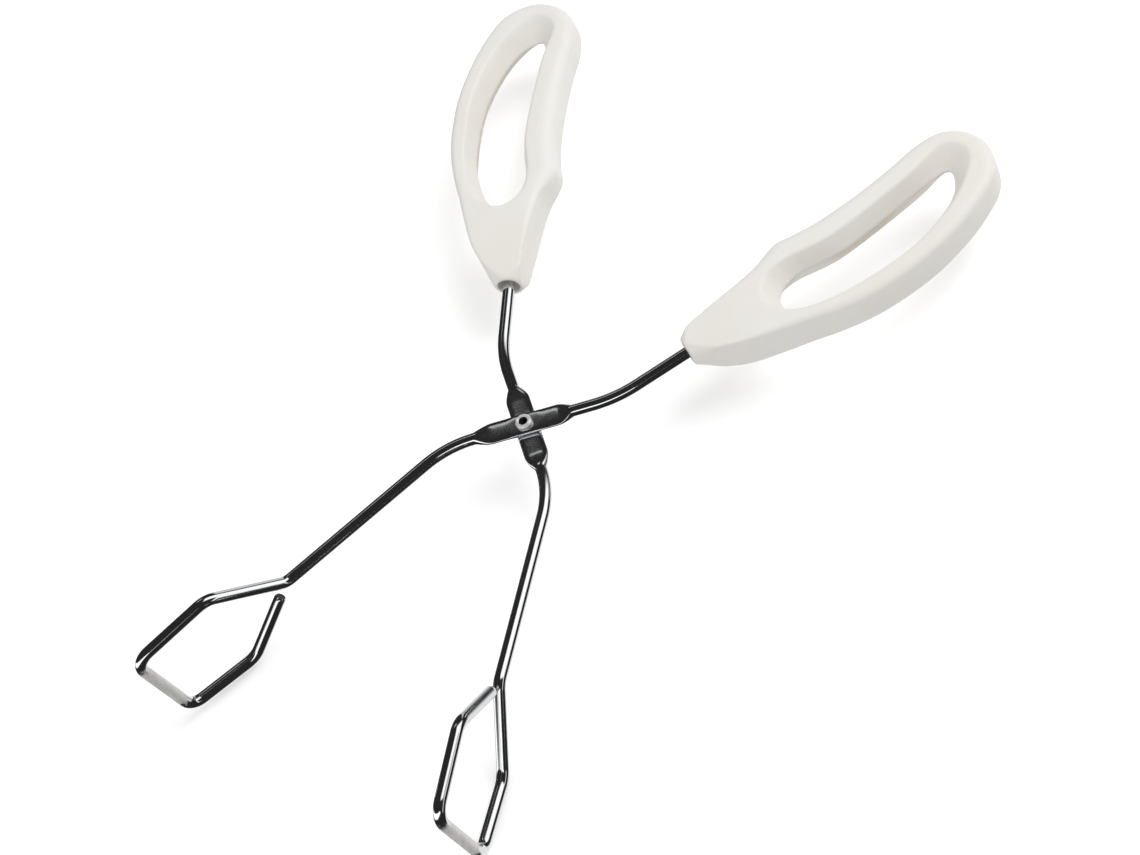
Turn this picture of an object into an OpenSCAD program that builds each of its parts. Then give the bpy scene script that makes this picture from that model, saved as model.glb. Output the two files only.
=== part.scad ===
// Scissor-action wire lifting tongs: two bent wire arms, flattened where they cross and
// joined by a hollow rivet, each with a moulded finger-loop handle pressed on its upper end.
// The tongs lie flat: the rivet stands along Z, the handles point to +Y and the jaws to -Y.
// The front arm runs from the +X handle to the -X jaw. The rear arm is the same part turned
// half a turn about Y.

/* [Wire] */
// Diameter of the wire
wire_d = 4; // [3:0.1:5]
// Angle of the flattened crossing from the long axis
strap_angle = 49.9; // [42:0.1:56]
// Angle of the upper wire from the long axis
grip_angle = 29.2; // [22:0.1:36]
// Angle of the lower wire from the long axis
jaw_angle = 19.8; // [12:0.1:28]
// Distance from the rivet to the upper bend
upper_bend_at = 31; // [26:0.5:40]
// Distance from the rivet to the lower bend
lower_bend_at = 26.7; // [24:0.1:36]
// Distance from the upper bend to the mouth of the handle
grip_wire_len = 26.9; // [22:0.1:45]
// Distance from the lower bend to the neck of the jaw loop
jaw_wire_len = 67.3; // [40:0.1:100]
// Radius of the upper bend
upper_bend_r = 42; // [15:1:60]
// Radius of the lower bend
lower_bend_r = 34; // [12:1:45]

/* [Jaw loop] */
// Length of the loop from its neck to its tip bar
loop_len = 50.8; // [44:0.1:70]
// Width of the loop at its shoulders
loop_w = 39.2; // [28:0.1:50]
// Width of the loop at its tip bar
loop_tip_w = 35.5; // [26:0.1:46]
// Length of the sloping shoulders along the loop
shoulder_len = 23; // [16:0.1:30]
// How much further out the front end of each tip bar lies than its rear end
tip_skew = 3.8; // [0:0.1:5]
// Where the cut end of the wire stops, measured past the neck
wire_end_at = 4.4; // [4:0.1:8]
// Radius of the bend at the neck
neck_bend_r = 5; // [4:0.1:8]
// Radius of the bends at the shoulders
shoulder_bend_r = 8; // [5:0.1:12]
// Radius of the bends at the tip
tip_bend_r = 5.4; // [3.5:0.1:8]

/* [Crossing] */
// Width of the flattened wire
strap_w = 8; // [6.5:0.1:10]
// Thickness of the flattened wire
strap_t = 1.8; // [1.2:0.1:2.4]
// Half length of the flattened wire
strap_half_len = 13.2; // [11:0.1:16]
// Length over which the flat runs out on the handle side
upper_ramp = 2.8; // [1.5:0.1:5]
// Length over which the flat runs out on the jaw side
lower_ramp = 4; // [1.5:0.1:6]
// Gap between the two flats
strap_gap = 0.1; // [0.06:0.02:0.3]

/* [Rivet] */
// Outer diameter of the rivet's shank
rivet_d = 3.9; // [3.2:0.1:4.6]
// Diameter of the hole through the rivet
rivet_bore_d = 2.6; // [1.6:0.1:2.8]
// Outer diameter of the rolled rim on the front
rim_d = 5.5; // [5:0.1:6.5]
// Outer diameter of the made head on the rear
head_d = 6.8; // [6:0.1:8]
// Thickness of the made head
head_t = 1; // [0.7:0.1:1.6]
// Radial clearance of the rivet in the holes of the flats
rivet_clearance = 0.05; // [0.02:0.01:0.1]

/* [Handle] */
// Thickness of the handle
handle_t = 14.4; // [11:0.1:18]
// Outer diameter of the round mouth
mouth_d = 10.6; // [9.6:0.1:12]
// Diameter of the hollow in the mouth
socket_d = 8; // [6.5:0.1:8.4]
// Depth of the hollow in the mouth
socket_depth = 9; // [5:0.5:12]
// How deep the wire sits in the handle
wire_depth = 23; // [16:0.5:25]
// Radius of the mouth's rounded rim
nose_r = 1; // [0.5:0.1:1.2]
// Length over which the neck thins towards the mouth
mouth_run = 18; // [12:1:24]
// Length over which the neck's slope eases into the face, each way
neck_ease = 5; // [2:0.5:6]
// Length of the cone that turns the flat neck into the round mouth
cone_len = 12; // [6:1:15]
// Width of the finger hole at the moulding's middle plane
hole_w = 17.2; // [15:0.1:18]
// Length of the finger hole at the moulding's middle plane
hole_len = 68.7; // [60:0.1:70]

/* [Hidden] */
$fn = 64;

wire_r = wire_d / 2;
layer_z = (strap_t + strap_gap) / 2;
lap = 0.4;
// Straight lengths are a hair thinner than the bends that they run into.
hair = 0.02;
bend_lap = 0.15;

// The wire's route, as [x, y, z]. Directions are [x, y] unit vectors.
strap_dir = [sin(strap_angle), cos(strap_angle)];
grip_dir = [sin(grip_angle), cos(grip_angle)];
jaw_dir = -[sin(jaw_angle), cos(jaw_angle)];
upper_bend = upper_bend_at * strap_dir;
lower_bend = -lower_bend_at * strap_dir;
mouth_at = upper_bend + grip_wire_len * grip_dir;
neck_at = lower_bend + jaw_wire_len * jaw_dir;
upper_flat_end = strap_half_len + upper_ramp;
lower_flat_end = strap_half_len + lower_ramp;
end_half_w = loop_w / 2 * wire_end_at / shoulder_len;

function in_layer(p, z = 0) = [p[0], p[1], layer_z + z];
function loop_point(along, side) = in_layer(neck_at + along * jaw_dir, side);

// The part of the wire above the flat, from inside the handle.
function upper_route() = [
    in_layer(mouth_at + wire_depth * grip_dir),
    in_layer(upper_bend),
    in_layer(upper_flat_end * strap_dir)
];
// The part below the flat: down to the neck, out to one side of the loop and back to the cut end.
// far_side is +1 where the side that the wire reaches first is the longer one.
function lower_route(far_side) = [
    in_layer(-lower_flat_end * strap_dir),
    in_layer(lower_bend),
    in_layer(neck_at),
    loop_point(shoulder_len, loop_w / 2),
    loop_point(loop_len + far_side * tip_skew / 2, loop_tip_w / 2),
    loop_point(loop_len - far_side * tip_skew / 2, -loop_tip_w / 2),
    loop_point(shoulder_len, -loop_w / 2),
    loop_point(wire_end_at, -end_half_w)
];
lower_radii = [0, lower_bend_r, neck_bend_r, shoulder_bend_r, tip_bend_r, tip_bend_r, shoulder_bend_r, 0];

function unit(v) = v / norm(v);
function turn(a, b, c) = acos(min(1, max(-1, unit(b - a) * unit(c - b))));
function trim(p, r, i) = r[i] == 0 ? 0 : r[i] * tan(turn(p[i - 1], p[i], p[i + 1]) / 2);

// A matrix that puts x and y along two square directions, with its origin at a point.
function placed(x, y, at) = let (z = cross(x, y)) [
    [x[0], y[0], z[0], at[0]],
    [x[1], y[1], z[1], at[1]],
    [x[2], y[2], z[2], at[2]],
    [0, 0, 0, 1]
];

module straight_wire(a, b) {
    along = unit(b - a);
    side = abs(along[2]) < 0.9 ? unit(cross([0, 0, 1], along)) : [1, 0, 0];
    // the cylinder's own axis is placed()'s third direction
    multmatrix(placed(side, cross(along, side), a))
        cylinder(r = wire_r - hair, h = norm(b - a));
}

module wire_bend(before, at, after, r) {
    along = unit(at - before);
    leaving = unit(after - at);
    angle = turn(before, at, after);
    inward = unit(leaving - (leaving * along) * along);
    start = at - r * tan(angle / 2) * along;
    multmatrix(placed(-inward, along, start + r * inward))
        rotate_extrude(angle = angle)
            translate([r, 0])
                circle(r = wire_r);
}

// Round wire along a route, with a bend of its own radius at each corner. Straight lengths run
// a short way into the bends.
module wire(route, radii) {
    last = len(route) - 1;
    for (i = [0 : last - 1]) {
        along = unit(route[i + 1] - route[i]);
        from = max(0, trim(route, radii, i) - bend_lap);
        to = max(0, trim(route, radii, i + 1) - bend_lap);
        straight_wire(route[i] + from * along, route[i + 1] - to * along);
    }
    for (i = [1 : last - 1])
        wire_bend(route[i - 1], route[i], route[i + 1], radii[i]);
}

// The flat: slices from round wire to strip and back to round wire.
ramp_steps = 6;
slice_points = 20;
core_d = wire_d - 6 * hair;
function ease(k) = k * k * (3 - 2 * k);
function flatness(x) = let (ramp = x > 0 ? upper_ramp : lower_ramp)
    ease(min(1, max(0, (strap_half_len + ramp - abs(x)) / ramp)));
function strap_slice(x) = let (
    f = flatness(x),
    w = core_d + (strap_w - core_d) * f,
    t = core_d + (strap_t - core_d) * f,
    sides = slice_points / 2
) [
    for (side = [1, -1], k = [0 : sides - 1])
        let (a = 180 * k / (sides - 1) - 90)
            [x, side * ((w - t) / 2 + t / 2 * cos(a)), side * t / 2 * sin(a)]
];
slice_places = [
    -lower_flat_end - lap,
    for (k = [ramp_steps : -1 : 0]) -strap_half_len - lower_ramp * k / ramp_steps,
    for (k = [0 : ramp_steps]) strap_half_len + upper_ramp * k / ramp_steps,
    upper_flat_end + lap
];

// A closed skin over rings of points, each ring with the same count.
module skin(rings) {
    n = len(rings[0]);
    last = len(rings) - 1;
    polyhedron(
        points = [for (ring = rings) each ring],
        faces = [
            [for (k = [0 : n - 1]) k],
            for (i = [0 : last - 1], k = [0 : n - 1])
                each [
                    [i * n + k, (i + 1) * n + k, (i + 1) * n + (k + 1) % n],
                    [i * n + k, (i + 1) * n + (k + 1) % n, i * n + (k + 1) % n]
                ],
            [for (k = [n - 1 : -1 : 0]) last * n + k]
        ]
    );
}

module strap() {
    difference() {
        translate([0, 0, layer_z])
            rotate(90 - strap_angle)
                skin([for (x = slice_places) strap_slice(x)]);
        translate([0, 0, -strap_t])
            cylinder(d = rivet_d + 2 * rivet_clearance, h = 4 * strap_t);
    }
}

module arm_wire(far_side) {
    wire(upper_route(), [0, upper_bend_r, 0]);
    strap();
    wire(lower_route(far_side), lower_radii);
}

// The handle, in its own plane: u across, away from the other handle, and v along the wire
// from the mouth. Each corner of the outline is [u, v, radius of its edge, drop of its edge].
// A drop less than the radius leaves a ridge where the edge's round meets the side wall.
outline = [
    [0, -1.2, 1.2, 1.2], [4.4, -0.8, 1.2, 1.2], [6.4, 3, 1.2, 1.2], [9, 8, 1.2, 1.2],
    [12.9, 15.5, 1.3, 1.3], [16.1, 25, 1.6, 1.6], [19, 35, 2, 2], [22.1, 45, 2.4, 2.4],
    [24.2, 56, 2.6, 2.6], [24.5, 67, 2.6, 2.6], [23.4, 79, 2.6, 2.6], [20.4, 90.9, 2.8, 2.8],
    [15.8, 102.3, 3, 3], [9.2, 112, 3.4, 3.4], [-1.2, 115.9, 3.6, 3.6], [-10.5, 113.2, 4, 4],
    [-16.1, 106.5, 4.2, 4.2], [-16.9, 97, 4.4, 4.4], [-15.2, 86.5, 4.8, 4.8],
    [-13.6, 73, 5, 5], [-13, 58, 5, 5], [-13.9, 48, 5, 4.8], [-14.7, 43, 5, 4.2],
    [-13, 38.6, 5, 2.8], [-9.4, 31, 4, 1.4], [-6.5, 15, 1.2, 1.2], [-5.1, 3, 1.2, 1.2],
    [-3.8, -0.8, 1.2, 1.2]
];
// The finger hole at the middle plane and at the faces. Each point lies opposite every second
// corner of the outline, and is measured from the hole's middle.
hole_line = [
    [-2, -34.2], [0.6, -33.9], [3.4, -31.6], [6.4, -25.5], [9.6, -11.5], [7.5, 10.5], [-0.5, 28],
    [-9, 34.5], [-13, 32.5], [-10.9, 19.5], [-7.7, -7.5], [-9.4, -23], [-7.9, -29.7], [-5, -33.2]
];
face_line = [
    [-3, -38.9], [1, -37.9], [5.5, -34.5], [9.6, -26.5], [11.8, -10.5], [10.9, 11], [3.8, 30],
    [-8, 42.2], [-17.4, 37], [-13.9, 20.5], [-10.7, -8.5], [-12.7, -25], [-11.4, -33.5], [-7, -38]
];
hole_middle = [7, 67.5];
// The size that hole_line and face_line have before they are fitted to hole_w and hole_len.
line_size = [17.2, 68.7];
outline_steps = 3;
wall_slope = 0.45;
hole_rows = 4;
edge_rows = 4;

function wrap(list, i) = list[(i + len(list)) % len(list)];
// A point of a closed smooth curve through a list, at corner i plus the fraction k.
function curve(list, i, k) = let (
    a = wrap(list, i - 1), b = wrap(list, i), c = wrap(list, i + 1), d = wrap(list, i + 2)
) (2 * b + (c - a) * k + (2 * a - 5 * b + 4 * c - d) * k * k + (3 * b - a - 3 * c + d) * k * k * k) / 2;

// A point of the hole at the middle plane or at the faces, opposite a place on the outline.
function hole_point(list, place) = let (
    at = curve(list, floor(place / 2), place / 2 - floor(place / 2))
) hole_middle + [at[0] * hole_w / line_size[0], at[1] * hole_len / line_size[1]];

// One section of the handle, from the middle of the hole's wall over the front face to the
// middle of the outer wall.
function front_half(station, place, before, after) = let (
    half_t = handle_t / 2,
    at = [station[0], station[1]],
    edge_r = station[2],
    drop = min(station[3], edge_r),
    run = unit([after[0] - before[0], after[1] - before[1]]),
    inward = [-run[1], run[0]],
    arc = acos(1 - drop / edge_r),
    hole = hole_point(hole_line, place),
    lip = hole_point(face_line, place),
    edge = at + edge_r * sin(arc) * inward
) [
    for (k = [0 : hole_rows]) let (
        b = 90 * k / hole_rows,
        out = wall_slope * sin(b) + (1 - wall_slope) * (1 - cos(b))
    ) [each hole + out * (lip - hole), half_t * sin(b)],
    for (k = [0 : edge_rows]) let (b = arc * k / edge_rows)
        [each edge - edge_r * sin(b) * inward, half_t - edge_r * (1 - cos(b))],
    [each at, 0]
];
function mirrored_half(half) = [
    for (k = [len(half) - 2 : -1 : 1]) [half[k][0], half[k][1], -half[k][2]]
];

stations = [
    for (i = [0 : len(outline) - 1], k = [0 : outline_steps - 1]) curve(outline, i, k / outline_steps)
];
sections = [
    for (i = [0 : len(stations) - 1])
        let (half = front_half(stations[i], i / outline_steps, wrap(stations, i - 1), wrap(stations, i + 1)))
            concat(half, mirrored_half(half))
];

// The moulding as one closed band of sections round the finger hole.
module moulding() {
    n = len(sections[0]);
    count = len(sections);
    polyhedron(
        points = [for (section = sections) each section],
        faces = [
            for (i = [0 : count - 1], k = [0 : n - 1])
                let (j = (i + 1) % count, m = (k + 1) % n)
                    each [
                        [i * n + k, j * n + m, i * n + m],
                        [i * n + k, j * n + k, j * n + m]
                    ]
        ]
    );
}

// What is taken off both faces to thin the neck: a straight slope that eases into the face.
neck_steps = 12;
module neck_cutter() {
    half_t = handle_t / 2;
    slope = (half_t - mouth_d / 2) / mouth_run;
    beyond = 2 * handle_t;
    thin_line = [
        [-beyond, mouth_d / 2 - slope * beyond],
        for (k = [0 : neck_steps]) let (t = k / neck_steps)
            [mouth_run + neck_ease * (2 * t - 1), half_t - slope * neck_ease * (1 - t) * (1 - t)],
        [2 * mouth_run, half_t]
    ];
    for (side = [1, -1])
        multmatrix([[0, 0, 1, 0], [1, 0, 0, 0], [0, side, 0, 0], [0, 0, 0, 1]])
            linear_extrude(2 * beyond, center = true)
                polygon([each thin_line, [2 * mouth_run, beyond], [-beyond, beyond]]);
}

// What is taken off the neck to leave a round mouth: all below it, and all outside a cone.
nose_steps = 5;
module mouth_cutter() {
    mouth_r = mouth_d / 2;
    cone_r = handle_t * 0.95;
    rotate([-90, 0, 0])
        rotate_extrude()
            polygon([
                [0, -nose_r * 3],
                [0, 0],
                for (k = [0 : nose_steps]) let (a = 90 * k / nose_steps)
                    [mouth_r - nose_r * (1 - sin(a)), nose_r * (1 - cos(a))],
                [cone_r, cone_len],
                [cone_r + nose_r, cone_len],
                [cone_r + nose_r, -nose_r * 3]
            ]);
}

module handle() {
    across = [cos(grip_angle), -sin(grip_angle), 0];
    along = [grip_dir[0], grip_dir[1], 0];
    multmatrix([
        [across[0], along[0], 0, mouth_at[0]],
        [across[1], along[1], 0, mouth_at[1]],
        [0, 0, 1, layer_z],
        [0, 0, 0, 1]
    ])
        difference() {
            moulding();
            neck_cutter();
            mouth_cutter();
            translate([0, -lap, 0])
                rotate([-90, 0, 0])
                    cylinder(d = socket_d, h = socket_depth + lap);
            rotate([-90, 0, 0])
                cylinder(d = wire_d, h = wire_depth);
        }
}

// The rivet: a tube with a rolled rim over the front flat and a made head behind the rear one.
flat_face_z = layer_z + strap_t / 2;
rim_r = (rim_d - rivet_bore_d) / 4;
rim_centre = [(rim_d + rivet_bore_d) / 4, flat_face_z + strap_gap / 2 + rim_r];
head_edge_r = head_t * 0.6;
rim_arc_steps = 14;
module rivet_profile() {
    polygon([
        [rivet_bore_d / 2, -flat_face_z - head_t],
        for (k = [0 : rim_arc_steps]) let (a = 90 * k / rim_arc_steps - 90)
            [head_d / 2 - head_edge_r + head_edge_r * cos(a), -flat_face_z - head_t + head_edge_r * (1 + sin(a))],
        [head_d / 2, -flat_face_z],
        [rivet_d / 2, -flat_face_z],
        [rivet_d / 2, flat_face_z + strap_gap / 2],
        for (k = [0 : rim_arc_steps]) let (a = 270 * k / rim_arc_steps - 90)
            rim_centre + rim_r * [cos(a), sin(a)]
    ]);
}

module front_arm_wire() {
    color("silver") arm_wire(1);
}
module rear_arm_wire() {
    color("silver") rotate([0, 180, 0]) arm_wire(-1);
}
module front_arm_handle() {
    color("ivory") handle();
}
module rear_arm_handle() {
    color("ivory") rotate([0, 180, 0]) handle();
}
module pivot_rivet() {
    color("gainsboro") rotate_extrude() rivet_profile();
}

front_arm_wire();
rear_arm_wire();
front_arm_handle();
rear_arm_handle();
pivot_rivet();
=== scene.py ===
"""Scissor-action wire lifting tongs: the looks of the two bent wires, the handles and the rivet.

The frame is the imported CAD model. Lengths are in metres. The tongs lie flat with the rivet along Z,
the handles point to +Y and the jaws to -Y.
"""

import math

import bmesh
import bpy
import numpy as np
from bpy.props import FloatProperty, FloatVectorProperty, IntProperty, PointerProperty
from bpy.types import Operator, Panel, PropertyGroup
from mathutils import Matrix, Vector
from mathutils.bvhtree import BVHTree


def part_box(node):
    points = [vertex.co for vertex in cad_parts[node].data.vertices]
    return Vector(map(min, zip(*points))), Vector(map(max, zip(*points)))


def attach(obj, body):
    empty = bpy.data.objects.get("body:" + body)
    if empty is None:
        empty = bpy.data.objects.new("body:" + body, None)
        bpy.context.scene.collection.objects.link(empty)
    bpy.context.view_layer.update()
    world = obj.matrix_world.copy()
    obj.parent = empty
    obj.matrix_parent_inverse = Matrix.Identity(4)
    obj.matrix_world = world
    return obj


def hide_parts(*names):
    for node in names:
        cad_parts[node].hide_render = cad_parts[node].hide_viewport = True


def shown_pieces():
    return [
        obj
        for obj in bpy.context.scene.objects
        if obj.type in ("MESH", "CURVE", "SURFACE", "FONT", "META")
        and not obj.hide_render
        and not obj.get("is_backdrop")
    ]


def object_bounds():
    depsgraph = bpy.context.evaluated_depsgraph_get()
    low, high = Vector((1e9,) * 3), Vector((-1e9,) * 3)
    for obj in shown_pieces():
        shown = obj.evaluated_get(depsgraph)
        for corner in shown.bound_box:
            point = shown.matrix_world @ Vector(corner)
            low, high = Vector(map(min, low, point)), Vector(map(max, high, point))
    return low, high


bl_info = {
    "name": "Wire lifting tongs",
    "version": (1, 0, 0),
    "blender": (4, 5, 0),
    "location": "View3D > Sidebar > Tongs",
    "description": "Builds the wires, handles, rivet and studio of a pair of lifting tongs",
    "category": "Object",
}

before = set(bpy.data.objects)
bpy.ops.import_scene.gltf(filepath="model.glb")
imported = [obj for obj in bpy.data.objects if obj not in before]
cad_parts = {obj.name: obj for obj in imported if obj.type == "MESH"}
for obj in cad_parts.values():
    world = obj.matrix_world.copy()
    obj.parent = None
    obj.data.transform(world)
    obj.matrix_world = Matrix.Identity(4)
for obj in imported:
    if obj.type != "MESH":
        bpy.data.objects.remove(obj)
CAD_LOW, CAD_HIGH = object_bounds()

MM = 0.001
Z_AXIS = Vector((0, 0, 1))

# Image points in the photograph's frame, as x and y from its upper left corner.
PHOTO_W, PHOTO_H = 1140, 855
PHOTO_POINTS = {
    "rivet": (523.5, 423),
    "front_neck": (290, 581.8),
    "rear_neck": (498.8, 685.8),
    "front_first_shoulder": (207, 598.7),
    "front_second_shoulder": (253.5, 656),
    "rear_first_shoulder": (503.7, 778.3),
    "rear_second_shoulder": (456.4, 723.6),
    "front_cut_end": (280.5, 598.5),
    "rear_cut_end": (492.5, 688.5),
    "front_mouth": (688.5, 352),
    "rear_mouth": (511, 288),
    # Where the plating of the tip bars is rubbed dull.
    "front_worn_tip": (164, 689),
    "rear_worn_tip": (461, 841),
}
# The object's edges in the same frame.
PHOTO_EDGES = {"left": 135, "right": 1003, "top": 2, "bottom": 854}
# Each arm's name, and whether it is the one that is turned over.
ARMS = (("front", False), ("rear", True))


# ---------------------------------------------------------------- sizes and finishes


class WireSizes(PropertyGroup):
    """The wire of one arm. The other arm is the same, turned half a turn about Y."""

    diameter: FloatProperty(
        name="Wire diameter", description="Diameter of the round wire",
        default=4 * MM, unit="LENGTH")
    strap_angle: FloatProperty(
        name="Crossing angle", description="Angle of the flat from the long axis",
        default=math.radians(49.9), subtype="ANGLE")
    grip_angle: FloatProperty(
        name="Grip angle", description="Angle of the upper wire from the long axis",
        default=math.radians(29.2), subtype="ANGLE")
    jaw_angle: FloatProperty(
        name="Jaw angle", description="Angle of the lower wire from the long axis",
        default=math.radians(19.8), subtype="ANGLE")
    upper_bend_at: FloatProperty(
        name="Upper bend", description="Distance from the rivet to the upper bend",
        default=31 * MM, unit="LENGTH")
    lower_bend_at: FloatProperty(
        name="Lower bend", description="Distance from the rivet to the lower bend",
        default=26.7 * MM, unit="LENGTH")
    grip_length: FloatProperty(
        name="Grip length", description="From the upper bend to the mouth of the handle",
        default=26.9 * MM, unit="LENGTH")
    jaw_length: FloatProperty(
        name="Jaw length", description="From the lower bend to the neck of the loop",
        default=67.3 * MM, unit="LENGTH")
    wire_depth: FloatProperty(
        name="Depth in handle", description="How deep the wire sits in the handle",
        default=23 * MM, unit="LENGTH")
    upper_bend_r: FloatProperty(
        name="Upper bend radius", description="Radius of the upper bend",
        default=42 * MM, unit="LENGTH")
    lower_bend_r: FloatProperty(
        name="Lower bend radius", description="Radius of the lower bend",
        default=34 * MM, unit="LENGTH")
    loop_length: FloatProperty(
        name="Loop length", description="From the neck to the tip bar",
        default=50.8 * MM, unit="LENGTH")
    loop_width: FloatProperty(
        name="Loop width", description="Width at the shoulders", default=39.2 * MM, unit="LENGTH")
    tip_width: FloatProperty(
        name="Tip width", description="Width at the tip bar", default=35.5 * MM, unit="LENGTH")
    shoulder_length: FloatProperty(
        name="Shoulder length", description="Length of the sloping shoulders",
        default=23 * MM, unit="LENGTH")
    tip_skew: FloatProperty(
        name="Tip skew", description="How much further out the front end of the tip bar lies",
        default=3.8 * MM, unit="LENGTH")
    cut_end_at: FloatProperty(
        name="Cut end", description="Where the wire's cut end stops, past the neck",
        default=4.4 * MM, unit="LENGTH")
    neck_bend_r: FloatProperty(
        name="Neck radius", description="Radius of the bend at the neck",
        default=5 * MM, unit="LENGTH")
    shoulder_bend_r: FloatProperty(
        name="Shoulder radius", description="Radius of the shoulder bends",
        default=8 * MM, unit="LENGTH")
    tip_bend_r: FloatProperty(
        name="Tip radius", description="Radius of the tip bends", default=5.4 * MM, unit="LENGTH")
    strap_width: FloatProperty(
        name="Flat width", description="Width of the flattened wire", default=8 * MM, unit="LENGTH")
    strap_thickness: FloatProperty(
        name="Flat thickness", description="Thickness of the flattened wire",
        default=1.8 * MM, unit="LENGTH")
    strap_gap: FloatProperty(
        name="Gap", description="Gap between the two flats", default=0.1 * MM, unit="LENGTH")
    strap_half_length: FloatProperty(
        name="Half flat", description="Half length of the fully flattened wire",
        default=10.8 * MM, unit="LENGTH")
    upper_ramp: FloatProperty(
        name="Upper ramp", description="Length over which the flat runs out on the handle side",
        default=5.4 * MM, unit="LENGTH")
    lower_ramp: FloatProperty(
        name="Lower ramp", description="Length over which the flat runs out on the jaw side",
        default=6.4 * MM, unit="LENGTH")
    rivet_hole: FloatProperty(
        name="Rivet hole", description="Diameter of the hole in the flat",
        default=4 * MM, unit="LENGTH")


class HandleSizes(PropertyGroup):
    """The moulding of one handle."""

    thickness: FloatProperty(
        name="Thickness", description="Thickness of the moulding",
        default=14.4 * MM, unit="LENGTH")
    mouth: FloatProperty(
        name="Mouth", description="Diameter of the neck's end", default=10.6 * MM, unit="LENGTH")
    nose: FloatProperty(
        name="Mouth edge", description="Radius of the round on the neck's end",
        default=1 * MM, unit="LENGTH")
    neck_run: FloatProperty(
        name="Neck run", description="Length over which the neck thins",
        default=18 * MM, unit="LENGTH")
    neck_ease: FloatProperty(
        name="Neck ease", description="Half length over which the slope eases into the face",
        default=5 * MM, unit="LENGTH")
    cone_length: FloatProperty(
        name="Cone length", description="Length over which the neck turns round",
        default=12 * MM, unit="LENGTH")
    socket: FloatProperty(
        name="Hollow", description="Diameter of the hollow in the mouth",
        default=7.2 * MM, unit="LENGTH")
    socket_depth: FloatProperty(
        name="Hollow depth", description="Depth of the hollow in the mouth",
        default=4 * MM, unit="LENGTH")
    wire_depth: FloatProperty(
        name="Wire bore", description="Depth of the bore that holds the wire",
        default=23 * MM, unit="LENGTH")
    skin: FloatProperty(
        name="Skin", description="Size of the faces of the finished skin",
        default=0.46 * MM, unit="LENGTH")
    softening: IntProperty(
        name="Softening", description="How often the skin is smoothed to soften its edges",
        default=10)


class ChromeFinish(PropertyGroup):
    """Bright plating on drawn wire."""

    colour: FloatVectorProperty(
        name="Colour", description="Colour of the plating", subtype="COLOR", size=3,
        default=(0.78, 0.79, 0.80))
    roughness: FloatProperty(
        name="Roughness", description="Roughness of the clean plating",
        default=0.06, subtype="FACTOR")
    worn_roughness: FloatProperty(
        name="Worn roughness", description="Roughness where the tip bars are rubbed dull",
        default=0.42, subtype="FACTOR")


class PlasticFinish(PropertyGroup):
    """Moulded handle plastic."""

    colour: FloatVectorProperty(
        name="Colour", description="Colour of the plastic", subtype="COLOR", size=3,
        default=(0.83, 0.815, 0.785))
    roughness: FloatProperty(
        name="Roughness", description="Roughness of the moulded face",
        default=0.42, subtype="FACTOR")
    grain: FloatProperty(
        name="Grain", description="Size of the fine grain of the mould",
        default=0.35 * MM, unit="LENGTH")


class StudioSettings(PropertyGroup):
    """Camera and lights."""

    lens: FloatProperty(
        name="Lens", description="Focal length in millimetres for a 36 mm sensor", default=94.74)
    camera_place: FloatVectorProperty(
        name="Camera place", description="Where the camera stands",
        subtype="XYZ", unit="LENGTH", size=3, default=(0.5132, -0.2822, 0.7627))
    aim: FloatVectorProperty(
        name="Aim", description="The point in the middle of the picture",
        subtype="XYZ", unit="LENGTH", size=3, default=(0.0113, 0.0069, -0.0048))
    roll: FloatProperty(
        name="Roll", description="Turn of the camera about its line of sight",
        default=math.radians(-32.14), subtype="ANGLE")
    sky: FloatProperty(
        name="Sky", description="Strength of the even light from all round", default=0.55)
    key: FloatProperty(
        name="Key lamp", description="Power of the soft lamp behind on the right",
        default=14, subtype="POWER")
    fill: FloatProperty(
        name="Fill lamp", description="Power of the soft lamp in front",
        default=7, subtype="POWER")


# ---------------------------------------------------------------- node trees


class Value:
    """A socket in a node tree. Arithmetic on it adds Math nodes."""

    def __init__(self, tree, socket):
        self.tree = tree
        self.socket = socket

    def maths(self, operation, *others):
        inputs = dict(enumerate((self, *others)))
        return self.tree.node("ShaderNodeMath", {"operation": operation}, inputs)

    def __add__(self, other):
        return self.maths("ADD", other)

    def __radd__(self, other):
        return self.maths("ADD", other)

    def __sub__(self, other):
        return self.maths("SUBTRACT", other)

    def __rsub__(self, other):
        return self.maths("MULTIPLY", -1).maths("ADD", other)

    def __mul__(self, other):
        return self.maths("MULTIPLY", other)

    def __rmul__(self, other):
        return self.maths("MULTIPLY", other)

    def __truediv__(self, other):
        return self.maths("DIVIDE", other)

    def __rtruediv__(self, other):
        return self.maths("POWER", -1).maths("MULTIPLY", other)

    def __neg__(self):
        return self.maths("MULTIPLY", -1)

    def __abs__(self):
        return self.maths("ABSOLUTE")

    def least(self, other):
        return self.maths("MINIMUM", other)

    def most(self, other):
        return self.maths("MAXIMUM", other)

    def ramp(self, start, end, low=0, high=1):
        """Goes smoothly from low to high as the value goes from start to end."""
        return self.tree.node(
            "ShaderNodeMapRange", {"interpolation_type": "SMOOTHSTEP"},
            {0: self, 1: start, 2: end, 3: low, 4: high})


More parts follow.
